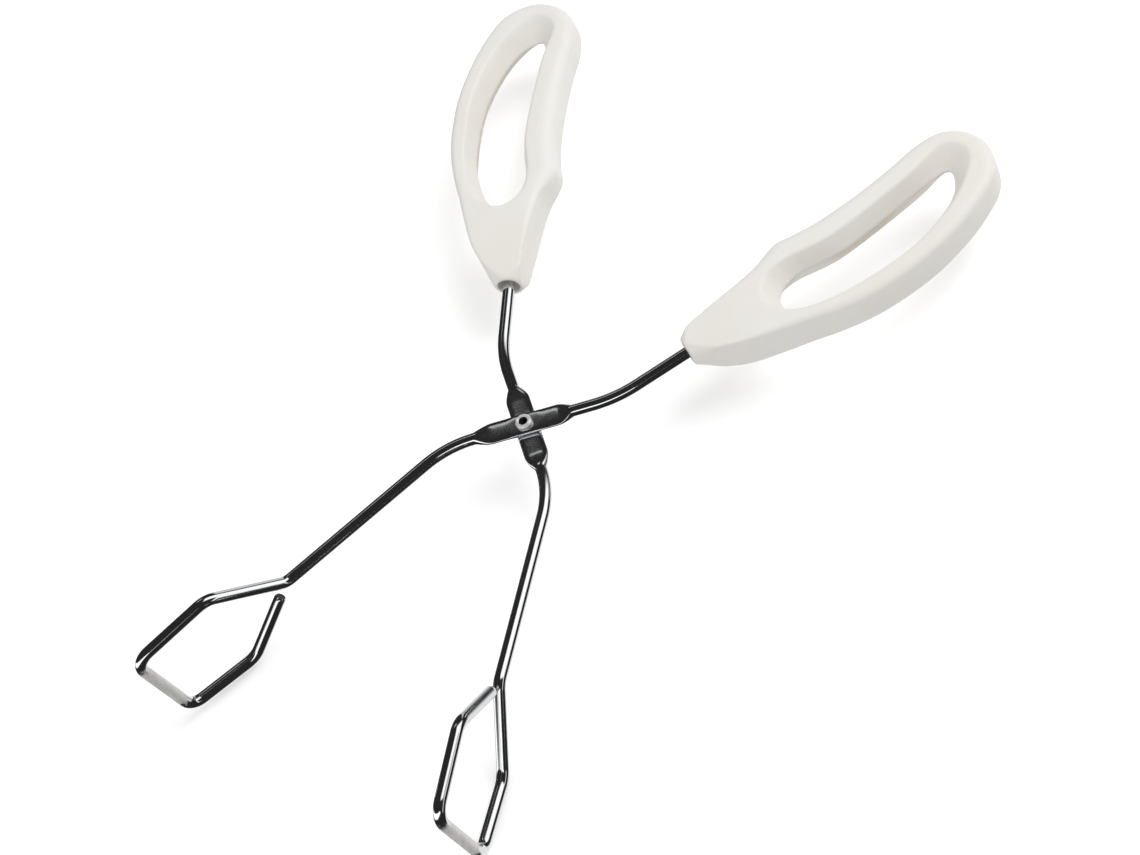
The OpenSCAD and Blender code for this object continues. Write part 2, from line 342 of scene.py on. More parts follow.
class Tree:
    """A node tree under construction."""

    def __init__(self, node_tree):
        self.nodes = node_tree.nodes
        self.links = node_tree.links

    def node(self, kind, settings=None, inputs=None, output=0):
        """Adds a node with its settings and its sockets' values or links, and gives one output."""
        made = self.nodes.new(kind)
        for name, value in (settings or {}).items():
            setattr(made, name, value)
        for key, value in (inputs or {}).items():
            if isinstance(value, Value):
                self.links.new(value.socket, made.inputs[key])
            else:
                made.inputs[key].default_value = value
        return Value(self, made.outputs[output]) if made.outputs else None

    def vector_maths(self, operation, a, b, output=0):
        return self.node("ShaderNodeVectorMath", {"operation": operation}, {0: a, 1: b}, output)

    def dot(self, a, b):
        return self.vector_maths("DOT_PRODUCT", a, b, "Value")

    def distance(self, a, b):
        return self.vector_maths("DISTANCE", a, b, "Value")

    def component(self, vector, axis):
        return self.node("ShaderNodeSeparateXYZ", None, {"Vector": vector}, axis)

    def object_place(self):
        return self.node("ShaderNodeTexCoord", None, None, "Object")

    def attribute(self, name, output="Fac"):
        return self.node("ShaderNodeAttribute", {"attribute_name": name}, None, output)

    def mix_colours(self, factor, a, b):
        """Sockets 6 and 7 of a Mix node are its two colours, and its output 2 is their mix."""
        return self.node("ShaderNodeMix", {"data_type": "RGBA"}, {"Factor": factor, 6: a, 7: b}, 2)

    def noise(self, vector, scale, detail, roughness):
        return self.node(
            "ShaderNodeTexNoise", None,
            {"Vector": vector, "Scale": scale, "Detail": detail, "Roughness": roughness}, "Fac")

    def bump(self, height, distance, strength, normal=None):
        inputs = {"Height": height, "Distance": distance, "Strength": strength}
        if normal is not None:
            inputs["Normal"] = normal
        return self.node("ShaderNodeBump", None, inputs, "Normal")


def shader_tree(name):
    """A new material with an empty tree."""
    material = bpy.data.materials.new(name)
    material.use_nodes = True
    material.node_tree.nodes.clear()
    return material, Tree(material.node_tree)


def opaque(colour):
    return (*colour, 1)


def finish_shader(tree, inputs):
    surface = tree.node("ShaderNodeBsdfPrincipled", None, inputs, "BSDF")
    tree.node("ShaderNodeOutputMaterial", None, {"Surface": surface})


# ---------------------------------------------------------------- materials


# Every pattern is a noise with three numbers: repeats a metre, detail and roughness. Every relief
# is how high a pattern stands and how strongly it shows. The chrome's come first.
DRAWING_LINES = (9000, 3, 0.6)
MOTTLE = (260, 4, 0.6)
PITS = (1300, 2, 0.5)
SCUFFS = (650, 4, 0.65)
PRESS_DENTS = (420, 3, 0.5)
LINE_RELIEF, DENT_RELIEF, SCUFF_RELIEF = (0.003 * MM, 0.5), (0.04 * MM, 0.5), (0.1 * MM, 0.6)
# How fast the drawing lines change along the wire, as a share of how fast they do round it.
LINE_STRETCH = 0.02
PIT_RANGE, PIT_COLOUR, PIT_SHARE = (0.7, 0.78), (0.35, 0.34, 0.33, 1), 0.35
# Where the dull mark of the press starts and is full, as shares of the wire's radius.
PRESS_MARK_EDGE = (0.8, 0.35)
# A rubbed place is fully worn within a share of its reach, and noise shifts its edge.
WORN_CORE, RAGGED_EDGE = 0.75, 7 * MM
DULLED_METAL, DULLED_LOSS = (0.74, 0.735, 0.72, 1), 0.5
SCUFFED_METAL, SCUFFED_LOSS = (0.88, 0.865, 0.83, 1), 0.15
# How much rougher the chrome is for each of them.
ROUGH_LINES, ROUGH_MOTTLE, ROUGH_PITS, ROUGH_PRESS_MARK, ROUGH_SCUFFS = 0.05, 0.08, 0.08, 0.1, 0.1


def chrome_material(finish, wire_radius, worn_places):
    """Bright plating: drawing lines along the wire, pressed dents on the flat, dull rubbed tips."""
    material, tree = shader_tree("chrome_on_drawn_wire")
    place = tree.object_place()
    along = tree.attribute("along")
    around = tree.attribute("around", "Vector")
    pressed = tree.attribute("pressed")

    # Drawing lines are fine round the wire and long along it.
    drawn = tree.node("ShaderNodeCombineXYZ", None, {"Z": along * LINE_STRETCH})
    lines = tree.noise(tree.vector_maths("ADD", around, drawn), *DRAWING_LINES)
    mottle = tree.noise(place, *MOTTLE)
    pits = tree.noise(place, *PITS).ramp(*PIT_RANGE)

    # The middle of the flat keeps the dull mark of the press, and its edges stay bright.
    side = abs(tree.component(around, "X")) / wire_radius
    press_mark = pressed * side.ramp(*PRESS_MARK_EDGE) * (0.6 + mottle * 0.8)

    # The rubbed places are the tip bars, with an edge broken up by noise.
    scuffs = tree.noise(place, *SCUFFS)
    worn = 0
    for centre, reach in worn_places:
        ragged = tree.distance(place, centre) + (mottle + scuffs - 1) * RAGGED_EDGE
        worn = worn + ragged.ramp(reach, reach * WORN_CORE)
    worn = worn.least(1)
    blotches = worn * scuffs.ramp(0.3, 0.7)

    rough = finish.roughness + lines * ROUGH_LINES + (mottle - 0.4).most(0) * ROUGH_MOTTLE
    rough = rough + pits * ROUGH_PITS + press_mark * ROUGH_PRESS_MARK
    rough = rough + worn * (finish.worn_roughness - finish.roughness) + blotches * ROUGH_SCUFFS
    dulled = tree.mix_colours(worn, opaque(finish.colour), DULLED_METAL)
    dulled = tree.mix_colours(blotches, dulled, SCUFFED_METAL)
    colour = tree.mix_colours(pits * PIT_SHARE, dulled, PIT_COLOUR)
    metal = 1 - worn * DULLED_LOSS - blotches * SCUFFED_LOSS

    dents = tree.noise(place, *PRESS_DENTS) * pressed
    normal = tree.bump(lines, *LINE_RELIEF)
    normal = tree.bump(dents, *DENT_RELIEF, normal)
    normal = tree.bump(blotches, *SCUFF_RELIEF, normal)
    finish_shader(tree, {
        "Base Color": colour, "Metallic": metal, "Roughness": rough, "Normal": normal})
    return material


CLOUDS, FLOW, SPECKS = (28, 3, 0.5), (90, 3, 0.55), (2100, 1, 0.4)
GRAIN_DETAIL, GRAIN_ROUGHNESS = 2, 0.5
GRAIN_RELIEF, FLOW_RELIEF, PARTING_RELIEF = (0.02 * MM, 0.35), (0.12 * MM, 0.35), (0.06 * MM, 0.6)
ROUGH_GRAIN, ROUGH_FLOW = 0.08, 0.1
SPECK_RANGE, SPECK_COLOUR, SPECK_SHARE = (0.72, 0.78), (0.55, 0.52, 0.47, 1), 0.12
# Shares of the plastic's own colour. The last is the painted shade on the hole's wall below its
# ridge.
WARM, COOL, PAINTED_SHADE = (0.985, 0.965, 0.94), (1.0, 1.005, 1.0), (0.86, 0.78, 0.68)
# How far below the ridge the painted shade is full, and how far from its middle the parting line
# fades.
PAINTED_SHADE_DEPTH = 1.2 * MM
PARTING_EDGE = (0.22 * MM, 0.06 * MM)


def plastic_material(finish, middle_height):
    """Moulded plastic: fine grain, warm and cool clouds, a parting line, painted shade in the finger
    hole.
    """
    material, tree = shader_tree("moulded_handle_plastic")
    place = tree.object_place()
    on_hole_wall = tree.attribute("hole_wall")
    height = tree.component(place, "Z")
    cloud = tree.noise(place, *CLOUDS)
    grain = tree.noise(place, 1 / finish.grain, GRAIN_DETAIL, GRAIN_ROUGHNESS)
    flow = tree.noise(place, *FLOW)
    specks = tree.noise(place, *SPECKS).ramp(*SPECK_RANGE)

    # The third of these tones is the painted shade for the hole's wall.
    warm, cool, shade_tone = (
        opaque(c * k for c, k in zip(finish.colour, shares)) for shares in (WARM, COOL, PAINTED_SHADE))
    colour = tree.mix_colours(cloud.ramp(0.3, 0.7), warm, cool)
    colour = tree.mix_colours(specks * SPECK_SHARE, colour, SPECK_COLOUR)
    # The wall of the finger hole gets a darker, warmer painted shade below its ridge, where it faces
    # down and away from the light.
    below_ridge = (middle_height - height).ramp(0, PAINTED_SHADE_DEPTH)
    painted_shade = on_hole_wall.ramp(0.2, 0.5) * below_ridge * (0.7 + flow * 0.6)
    colour = tree.mix_colours(painted_shade, colour, shade_tone)
    rough = finish.roughness + (grain - 0.5) * ROUGH_GRAIN + (flow - 0.5) * ROUGH_FLOW

    parting = abs(height - middle_height).ramp(*PARTING_EDGE)
    normal = tree.bump(grain, *GRAIN_RELIEF)
    normal = tree.bump(flow, *FLOW_RELIEF, normal)
    normal = tree.bump(parting, *PARTING_RELIEF, normal)
    finish_shader(tree, {
        "Base Color": colour, "Roughness": rough, "Normal": normal,
        "IOR": 1.48, "Subsurface Weight": 0.06, "Subsurface Radius": (1.0, 0.9, 0.75),
        "Subsurface Scale": 1.5 * MM,
    })
    return material


RINGS, TOOL_DENTS = (9000, 2, 0.5), (900, 2, 0.5)
RING_RELIEF, TOOL_DENT_RELIEF = (0.006 * MM, 0.5), (0.08 * MM, 0.7)
RIM_ROUGHNESS, RIM_METAL = 0.3, 0.5
RIM_TONES = (0.84, 0.84, 0.83, 1), (0.95, 0.95, 0.94, 1)
# Near black painted shade for the hollow bore, where the light doesn't reach.
PAINTED_BORE_SHADE = (0.03, 0.03, 0.03, 1)
# How far from the axis the rim starts to darken into the bore's painted shade, and where it is as
# dark as the bore.
BORE_SHADE_EDGE = (1.612 * MM, 1.404 * MM)


def rivet_material():
    """Rolled steel with a satin rim, fine rings, dents from the tool and painted shade in the bore.
    """
    material, tree = shader_tree("rolled_rivet_steel")
    place = tree.object_place()
    from_axis = tree.distance(tree.vector_maths("MULTIPLY", place, (1, 1, 0)), (0, 0, 0))
    radius = tree.node("ShaderNodeCombineXYZ", None, {"X": from_axis})
    rings = tree.noise(radius, *RINGS)
    dents = tree.noise(place, *TOOL_DENTS)
    rim = tree.mix_colours(dents.ramp(0.35, 0.7), *RIM_TONES)
    # The bore and the rim's inner edge are painted dark, as shade in the hollow.
    colour = tree.mix_colours(from_axis.ramp(*BORE_SHADE_EDGE), rim, PAINTED_BORE_SHADE)
    normal = tree.bump(rings, *RING_RELIEF)
    normal = tree.bump(dents, *TOOL_DENT_RELIEF, normal)
    rough = RIM_ROUGHNESS + rings * 0.1 + (dents - 0.5) * 0.1
    finish_shader(tree, {
        "Base Color": colour, "Metallic": RIM_METAL, "Roughness": rough, "Normal": normal})
    return material


# ---------------------------------------------------------------- wires


def turned(point, is_rear):
    """The rear arm is the front one turned half a turn about Y."""
    return Vector((-point[0], point[1], -point[2])) if is_rear else Vector(point)


def layer_height(sizes, is_rear=False):
    """How high an arm lies: the front one above the middle plane, the rear one as far below."""
    return (sizes.strap_thickness + sizes.strap_gap) / 2 * (-1 if is_rear else 1)


def off_long_axis(angle):
    """The direction at an angle from the tongs' long axis, towards +X."""
    return Vector((math.sin(angle), math.cos(angle), 0))


def wire_corners(sizes, is_rear):
    """The wire's corners from inside the handle to the cut end: name, place and bend radius."""
    layer = layer_height(sizes) * Z_AXIS
    strap, grip = off_long_axis(sizes.strap_angle), off_long_axis(sizes.grip_angle)
    jaw = -off_long_axis(sizes.jaw_angle)
    upper = sizes.upper_bend_at * strap + layer
    lower = -sizes.lower_bend_at * strap + layer
    mouth = upper + sizes.grip_length * grip
    neck = lower + sizes.jaw_length * jaw
    # The front end of both tip bars lies further out, so the skew changes sign with the turn.
    skew = sizes.tip_skew / 2 * (-1 if is_rear else 1)
    shoulder, tip = sizes.loop_width / 2, sizes.tip_width / 2
    end_side = shoulder * sizes.cut_end_at / sizes.shoulder_length

    def on_loop(along, side):
        return neck + along * jaw + side * Z_AXIS

    corners = [
        ("in_handle", mouth + sizes.wire_depth * grip, 0),
        ("mouth", mouth, 0),
        ("upper_bend", upper, sizes.upper_bend_r),
        ("lower_bend", lower, sizes.lower_bend_r),
        ("neck", neck, sizes.neck_bend_r),
        ("first_shoulder", on_loop(sizes.shoulder_length, shoulder), sizes.shoulder_bend_r),
        ("first_tip", on_loop(sizes.loop_length + skew, tip), sizes.tip_bend_r),
        ("second_tip", on_loop(sizes.loop_length - skew, -tip), sizes.tip_bend_r),
        ("second_shoulder", on_loop(sizes.shoulder_length, -shoulder), sizes.shoulder_bend_r),
        ("cut_end", on_loop(sizes.cut_end_at, -end_side), 0),
    ]
    return [(name, turned(place, is_rear), radius) for name, place, radius in corners]


def path_object(name, corners):
    """A chain of edges through the corners, with each bend's radius as an attribute."""
    mesh = bpy.data.meshes.new(name)
    steps = [(i, i + 1) for i in range(len(corners) - 1)]
    mesh.from_pydata([place for _, place, _ in corners], steps, [])
    radii = mesh.attributes.new("bend_radius", "FLOAT", "POINT")
    radii.data.foreach_set("value", [radius for _, _, radius in corners])
    made = bpy.data.objects.new(name, mesh)
    bpy.context.scene.collection.objects.link(made)
    return made


# The named inputs of the tree that bends a wire. Every wire sets all but the material, which
# comes last because its rubbed places are found on the finished wires.
WIRE_INPUTS = {
    "Wire Radius": "NodeSocketFloat",
    "Ring Spacing": "NodeSocketFloat",
    "Sides": "NodeSocketInt",
    "Strap Direction": "NodeSocketVector",
    "Strap Side": "NodeSocketVector",
    "Layer Height": "NodeSocketFloat",
    "Strap Width": "NodeSocketFloat",
    "Strap Thickness": "NodeSocketFloat",
    "Strap Half Length": "NodeSocketFloat",
    "Upper Ramp": "NodeSocketFloat",
    "Lower Ramp": "NodeSocketFloat",
    "Rivet Hole": "NodeSocketFloat",
    "Material": "NodeSocketMaterial",
}
RING_SPACING, WIRE_SIDES, HOLE_SIDES, BEND_STEPS = 0.5 * MM, 40, 64, 24
# The flat is a strip whose ring points go across by a power of where they were on the round wire:
# a low power gives a flat face, and a higher one a crowned face.
RIVET_SEAT = 3.2 * MM
SEAT_POWER, FLAT_POWER = 0.5, 0.8
# The cut end narrows to a share of the wire over a short length.
CUT_SHARE, END_ROUNDING = 0.8, 0.6 * MM
CREASE_ANGLE = math.radians(32)
# How far the rubbed place reaches from its middle, as a share of the tip bar.
WORN_SHARE = 0.4


def swept_wire_tree():
    """Geometry Nodes that bend a wire along a chain of edges and press its middle flat."""
    group = bpy.data.node_groups.new("bent_and_pressed_wire", "GeometryNodeTree")
    group.interface.new_socket("Geometry", in_out="INPUT", socket_type="NodeSocketGeometry")
    for name, kind in WIRE_INPUTS.items():
        group.interface.new_socket(name, in_out="INPUT", socket_type=kind)
    group.interface.new_socket("Geometry", in_out="OUTPUT", socket_type="NodeSocketGeometry")
    tree = Tree(group)
    given = {
        name: tree.node("NodeGroupInput", None, None, name) for name in ("Geometry", *WIRE_INPUTS)}
    wire_radius, half = given["Wire Radius"], given["Strap Half Length"]
    upper_ramp, lower_ramp = given["Upper Ramp"], given["Lower Ramp"]

    def store(geometry, name, value, kind="FLOAT"):
        return tree.node(
            "GeometryNodeStoreNamedAttribute", {"data_type": kind, "domain": "POINT"},
            {"Geometry": geometry, "Name": name, "Value": value})

    # The bent centre line, with the distance along it kept for the material.
    bend_radius = tree.node(
        "GeometryNodeInputNamedAttribute", {"data_type": "FLOAT"}, {"Name": "bend_radius"})
    curve = tree.node("GeometryNodeMeshToCurve", None, {"Mesh": given["Geometry"]})
    curve = tree.node(
        "GeometryNodeFilletCurve", {"mode": "POLY"},
        {"Curve": curve, "Count": BEND_STEPS, "Radius": bend_radius})
    curve = tree.node(
        "GeometryNodeResampleCurve", {"mode": "LENGTH"},
        {"Curve": curve, "Length": given["Ring Spacing"]})
    run = tree.node("GeometryNodeSplineParameter", None, None, "Length")
    curve = store(curve, "along", run)

    # The round profile, with its own points kept so that patterns have no seam.
    profile = tree.node(
        "GeometryNodeCurvePrimitiveCircle", {"mode": "RADIUS"},
        {"Resolution": given["Sides"], "Radius": wire_radius}, "Curve")
    profile = store(profile, "around", tree.node("GeometryNodeInputPosition"), "FLOAT_VECTOR")

    # The cut end is a little rounded.
    whole = tree.node("GeometryNodeSplineLength", None, None, "Length")
    from_end = ((whole - run) / END_ROUNDING).least(1)
    narrowed = CUT_SHARE + (1 - CUT_SHARE) * from_end
    mesh = tree.node(
        "GeometryNodeCurveToMesh", None,
        {"Curve": curve, "Profile Curve": profile, "Scale": narrowed, "Fill Caps": True})

    # The pressed flat: each ring goes from round to a strip with round edges.
    place = tree.node("GeometryNodeInputPosition")
    on_strap = tree.dot(place, given["Strap Direction"])
    across = tree.dot(place, given["Strap Side"]) / wire_radius
    height = tree.component(place, "Z") - given["Layer Height"]
    upright = height / wire_radius
    upper_reach = (half + upper_ramp - on_strap) / upper_ramp
    lower_reach = (half + lower_ramp + on_strap) / lower_ramp
    reach = upper_reach.least(lower_reach).least(1).most(0)
    flatness = reach.ramp(0, 1)
    widening = (reach * (math.pi / 2)).maths("SINE")
    # It is flattest where the rivet sits on it.
    power = abs(on_strap).ramp(RIVET_SEAT, 2 * RIVET_SEAT, SEAT_POWER, FLAT_POWER)

    def pressed_out(share):
        return abs(share).least(1).maths("POWER", power) * share.maths("SIGN")

    side_shift = (pressed_out(across) * given["Strap Width"] / 2 - across * wire_radius) * widening
    height_shift = (pressed_out(upright) * given["Strap Thickness"] / 2 - height) * flatness
    sideways = tree.node(
        "ShaderNodeVectorMath", {"operation": "SCALE"},
        {0: given["Strap Side"], "Scale": side_shift})
    upwards = tree.node("ShaderNodeCombineXYZ", None, {"Z": height_shift})
    mesh = store(mesh, "pressed", flatness)
    mesh = tree.node(
        "GeometryNodeSetPosition", None,
        {"Geometry": mesh, "Offset": tree.vector_maths("ADD", sideways, upwards)})

    hole = tree.node(
        "GeometryNodeMeshCylinder", None,
        {"Vertices": HOLE_SIDES, "Radius": given["Rivet Hole"] / 2, "Depth": given["Strap Width"]},
        "Mesh")
    mesh = tree.node(
        "GeometryNodeMeshBoolean", {"operation": "DIFFERENCE", "solver": "EXACT"},
        {"Mesh 1": mesh, "Mesh 2": hole}, "Mesh")
    mesh = tree.node(
        "GeometryNodeSetShadeSmooth", {"domain": "FACE"}, {"Geometry": mesh, "Shade Smooth": True})
    bend = tree.node("GeometryNodeInputMeshEdgeAngle", None, None, "Unsigned Angle")
    crease = tree.node(
        "FunctionNodeCompare", {"data_type": "FLOAT", "operation": "GREATER_THAN"},
        {0: bend, 1: CREASE_ANGLE})
    mesh = tree.node(
        "GeometryNodeSetShadeSmooth", {"domain": "EDGE"},
        {"Geometry": mesh, "Selection": crease, "Shade Smooth": False})
    mesh = tree.node("GeometryNodeRealizeInstances", None, {"Geometry": mesh})
    mesh = tree.node(
        "GeometryNodeSetMaterial", None, {"Geometry": mesh, "Material": given["Material"]})
    tree.node("NodeGroupOutput", None, {"Geometry": mesh})
    return group


def plain_mesh_from_nodes(holder, group, values, name):
    """Runs the tree on the holder with its named inputs, and gives the result as a plain object."""
    modifier = holder.modifiers.new("sweep", "NODES")
    modifier.node_group = group
    identifiers = {
        item.name: item.identifier for item in group.interface.items_tree
        if item.item_type == "SOCKET" and item.in_out == "INPUT"}
    for key, value in values.items():
        modifier[identifiers[key]] = value
    holder.update_tag()
    depsgraph = bpy.context.evaluated_depsgraph_get()
    mesh = bpy.data.meshes.new_from_object(holder.evaluated_get(depsgraph), depsgraph=depsgraph)
    holder.modifiers.remove(modifier)
    bpy.data.objects.remove(holder)
    made = bpy.data.objects.new(name, mesh)
    mesh.name = name
    bpy.context.scene.collection.objects.link(made)
    return made


class TONGS_OT_make_wires(Operator):
    """Bends the wires of both arms, with their pressed flats and jaw loops"""

    bl_idname = "tongs.make_wires"
    bl_label = "Make wires"

    def execute(self, context):
        sizes = context.scene.tongs_wire
        group = swept_wire_tree()
        wires = {}
        for arm, is_rear in ARMS:
            path = path_object(arm + "_path", wire_corners(sizes, is_rear))
            strap = turned(off_long_axis(sizes.strap_angle), is_rear)
            wires[arm] = plain_mesh_from_nodes(path, group, {
                "Wire Radius": sizes.diameter / 2,
                "Ring Spacing": RING_SPACING,
                "Sides": WIRE_SIDES,
                "Strap Direction": strap,
                "Strap Side": strap.cross(Z_AXIS),
                "Layer Height": layer_height(sizes, is_rear),
                "Strap Width": sizes.strap_width,
                "Strap Thickness": sizes.strap_thickness,
                "Strap Half Length": sizes.strap_half_length,
                "Upper Ramp": sizes.upper_ramp,
                "Lower Ramp": sizes.lower_ramp,
                "Rivet Hole": sizes.rivet_hole,
            }, arm + "_arm_bent_wire")
        worn_places = [
            (nearest_seen(PHOTO_POINTS[arm + "_worn_tip"], [wire]), sizes.tip_width * WORN_SHARE)
            for arm, wire in wires.items()]
        chrome = chrome_material(context.scene.tongs_chrome, sizes.diameter / 2, worn_places)
        for arm, wire in wires.items():
            wire.data.materials.clear()
            wire.data.materials.append(chrome)
            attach(wire, arm + "_arm")
            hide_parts(arm + "_arm_wire")
        return {"FINISHED"}


# ---------------------------------------------------------------- handles and rivet


# The moulding in its own plane, in millimetres: u across, away from the other handle, and v along
# the wire from the mouth. Each corner of the outline is u, v, the radius of its edge and how far
# that round drops. A drop less than the radius leaves a crease above the side wall.
HANDLE_OUTLINE = (
    (0, -1.2, 1.2, 1.2), (4.4, -0.8, 1.2, 1.2), (6.4, 3, 1.2, 1.2), (9, 8, 1.2, 1.2),
    (12.9, 15.5, 1.3, 1.3), (16.1, 25, 1.6, 1.6), (19, 35, 2, 2), (22.1, 45, 2.4, 2.4),
    (24.2, 56, 2.6, 2.6), (24.5, 67, 2.6, 2.6), (23.4, 79, 2.6, 2.6), (20.4, 90.9, 2.8, 2.8),
    (15.8, 102.3, 3, 3), (9.2, 112, 3.4, 3.4), (-1.2, 115.9, 3.6, 3.6), (-10.5, 113.2, 4, 4),
    (-16.1, 106.5, 4.2, 4.2), (-16.9, 97, 4.4, 4.4), (-15.2, 86.5, 4.8, 4.8),
    (-13.6, 73, 5, 5), (-13, 58, 5, 5), (-13.9, 48, 5, 4.8), (-14.7, 43, 5, 4.2),
    (-13, 38.6, 5, 2.8), (-9.4, 31, 4, 1.4), (-6.5, 15, 1.2, 1.2), (-5.1, 3, 1.2, 1.2),
    (-3.8, -0.8, 1.2, 1.2),
)
# The finger hole at the middle plane and at the faces, opposite every second corner of the outline.
HOLE_LINE = (
    (5, 33.3), (7.6, 33.6), (10.4, 35.9), (13.4, 42), (16.6, 56), (14.5, 78), (6.5, 95.5),
    (-1.4, 101.5), (-4.8, 99.4), (-3.9, 87), (-0.7, 60), (-2.4, 44.5), (-0.9, 37.8), (2, 34.3),
)
LIP_LINE = (
    (4, 28.6), (8, 29.6), (12.5, 33), (16.6, 41), (18.8, 57), (17.9, 78.5), (10.8, 97.5),
    (-1, 109.7), (-10.4, 104.5), (-6.9, 88), (-3.7, 59), (-5.7, 42.5), (-4.4, 34), (0, 29.5),
)
# The place that the hole's wall faces.
HOLE_MIDDLE = Vector((5, 67, 0)) * MM
OUTLINE_STEPS, HOLE_ROWS, EDGE_ROWS = 8, 10, 8
# The share of the hole's wall that slopes straight outwards. The rest of it curves.
WALL_SLOPE = 0.8
SAME_PLACE = 0.0001 * MM
TURN_STEPS, EASE_STEPS, NOSE_STEPS = 96, 16, 6
SOFTENING_FACTOR = 0.5
# How far the neck keeper reaches past the moulding on each side, in millimetres.
BELOW_MOUTH, PAST_END, PAST_SIDE, ABOVE_FACE = 20, 140, 60, 2
# Its slope ends this far clear of the flat face, so that the two never coincide.
CLEAR_OF_FACE = 0.002
# How far along each keeper steps out to hold all the rest.
NECK_STEP, CONE_STEP = 1, 0.5
# The mouth keeper's cone opens to a share of the thickness. What it holds above that is wide.
CONE_SHARE, REST_RADIUS, REST_END = 0.95, 70, 150
# The hollow's edge flares a little towards the mouth, and the cutter starts outside it.
FLARE, FLARE_DEPTH, CUTTER_START = 0.3, 1, -2


def on_closed_curve(points, place):
    """A point of the closed smooth curve through the points, at a corner's number plus a share."""
    first = math.floor(place)
    k = place - first
    a, b, c, d = (np.array(points[(first + i) % len(points)], float) for i in (-1, 0, 1, 2))
    square, cube = 2 * a - 5 * b + 4 * c - d, 3 * b - a - 3 * c + d
    return (2 * b + (c - a) * k + square * k**2 + cube * k**3) / 2


def handle_section(place, half_thickness):
    """One section of the moulding, from the middle of the hole's wall round to itself."""
    step = 1 / OUTLINE_STEPS
    before, station, after = (on_closed_curve(HANDLE_OUTLINE, place + i * step) for i in (-1, 0, 1))
    at, edge_r, drop = station[:2], station[2], station[3]
    run = (after - before)[:2]
    inward = np.array((-run[1], run[0])) / np.linalg.norm(run)
    arc = math.acos(1 - min(drop, edge_r) / edge_r)
    hole = on_closed_curve(HOLE_LINE, place / 2)
    lip = on_closed_curve(LIP_LINE, place / 2)
    edge = at + edge_r * math.sin(arc) * inward
    half = []
    for row in range(HOLE_ROWS + 1):
        b = math.pi / 2 * row / HOLE_ROWS
        out = WALL_SLOPE * math.sin(b) + (1 - WALL_SLOPE) * (1 - math.cos(b))
        half.append((*(hole + out * (lip - hole)), half_thickness * math.sin(b)))
    for row in range(EDGE_ROWS + 1):
        b = arc * row / EDGE_ROWS
        down = edge_r * (1 - math.cos(b))
        half.append((*(edge - edge_r * math.sin(b) * inward), half_thickness - down))
    half.append((*at, 0))
    return half + [(u, v, -z) for u, v, z in half[-2:0:-1]]


def skinned(name, rings, closed=False):
    """A plain object over rings of points in millimetres. An open run of rings gets caps."""
    count, size = len(rings), len(rings[0])
    faces = []
    for i in range(count if closed else count - 1):
        here, there = i * size, (i + 1) % count * size
        for k in range(size):
            beside = (k + 1) % size
            faces.append((here + k, here + beside, there + beside, there + k))
    if not closed:
        faces += [tuple(range(size)), tuple(range((count - 1) * size, count * size))]
    mesh = bpy.data.meshes.new(name)
    mesh.from_pydata([Vector(point) * MM for ring in rings for point in ring], [], faces)
    shell = bmesh.new()
    shell.from_mesh(mesh)
    bmesh.ops.remove_doubles(shell, verts=shell.verts, dist=SAME_PLACE)
    bmesh.ops.recalc_face_normals(shell, faces=shell.faces)
    shell.to_mesh(mesh)
    shell.free()
    made = bpy.data.objects.new(name, mesh)
    bpy.context.scene.collection.objects.link(made)
    return made


def revolved(name, profile):
    """A solid turned about the neck's axis, from pairs of radius and v."""
    angles = [2 * math.pi * i / TURN_STEPS for i in range(TURN_STEPS)]
    return skinned(
        name, [[(r * math.cos(a), v, r * math.sin(a)) for a in angles] for r, v in profile])


def neck_keeper(handle):
    """What the thinned neck keeps: a wedge that eases into the full thickness."""
    half, mouth = handle.thickness / MM / 2, handle.mouth / MM / 2
    run, ease = handle.neck_run / MM, handle.neck_ease / MM
    slope = (half - mouth) / run
    line = [(-BELOW_MOUTH, mouth - slope * BELOW_MOUTH)]
    for i in range(EASE_STEPS + 1):
        t = i / EASE_STEPS
        line.append((
            run + ease * (2 * t - 1), half - slope * ease * (1 - t) ** 2 + CLEAR_OF_FACE * t))
    line += [(run + ease + NECK_STEP, half + ABOVE_FACE), (PAST_END, half + ABOVE_FACE)]
    loop = line + [(v, -z) for v, z in reversed(line)]
    return skinned("neck_keeper", [[(u, v, z) for v, z in loop] for u in (-PAST_SIDE, PAST_SIDE)])


def mouth_keeper(handle):
    """What the round mouth keeps: a cone with a rounded nose, and all that lies above it."""
    mouth, nose = handle.mouth / MM / 2, handle.nose / MM
    cone, length = handle.thickness / MM * CONE_SHARE, handle.cone_length / MM
    profile = [(0, 0)]
    for i in range(NOSE_STEPS + 1):
        a = math.pi / 2 * i / NOSE_STEPS
        profile.append((mouth - nose * (1 - math.sin(a)), nose * (1 - math.cos(a))))
    profile += [
        (cone, length), (REST_RADIUS, length + CONE_STEP), (REST_RADIUS, REST_END), (0, REST_END)]
    return revolved("mouth_keeper", profile)


def socket_cutter(handle, wire_diameter):
    """The hollow in the mouth and the bore that holds the wire."""
    socket, wire = handle.socket / MM / 2, wire_diameter / MM / 2
    depth, end = handle.socket_depth / MM, handle.wire_depth / MM
    return revolved("socket_cutter", [
        (0, CUTTER_START), (socket + FLARE, CUTTER_START), (socket, FLARE_DEPTH), (socket, depth),
        (wire, depth), (wire, end), (0, end)])


